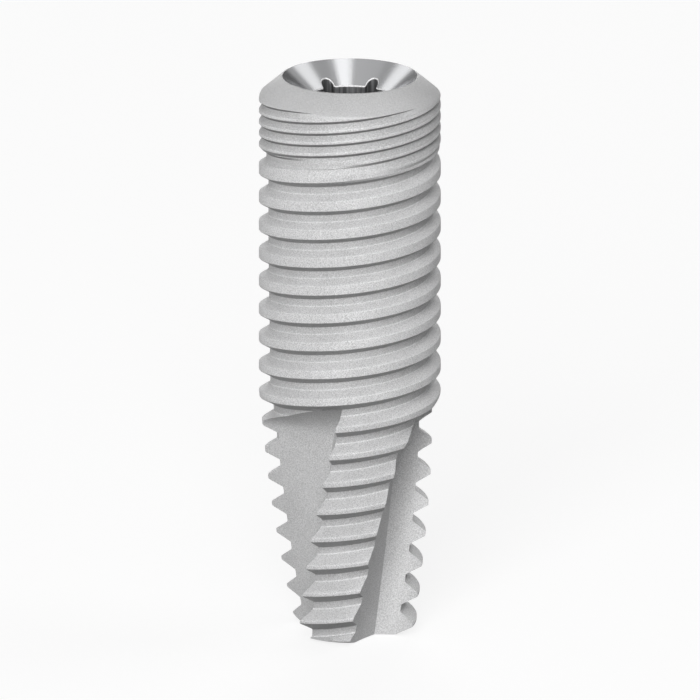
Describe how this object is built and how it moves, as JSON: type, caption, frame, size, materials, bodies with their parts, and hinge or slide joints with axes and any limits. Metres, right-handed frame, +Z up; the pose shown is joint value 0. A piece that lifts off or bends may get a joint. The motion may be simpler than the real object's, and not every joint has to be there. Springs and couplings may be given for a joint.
{
  "type": "dental implant",
  "caption": "Titanium dental implant screw with a conical mouth, lobed drive socket, fine upper thread, coarse tapered thread and helical cutting flutes.",
  "frame": {"origin": "centre of the flat apex face the implant stands on", "axes": "+Z up the implant's axis, from the apex to the mouth; -Y towards the front, as in the picture"},
  "size_m": [0.0042, 0.0042, 0.0132],
  "materials": {
    "titanium_blasted": "grit-blasted and etched titanium, matt grey"
  },
  "bodies": {
    "root": {"implant_body": "titanium_blasted"}
  },
  "joints": []
}
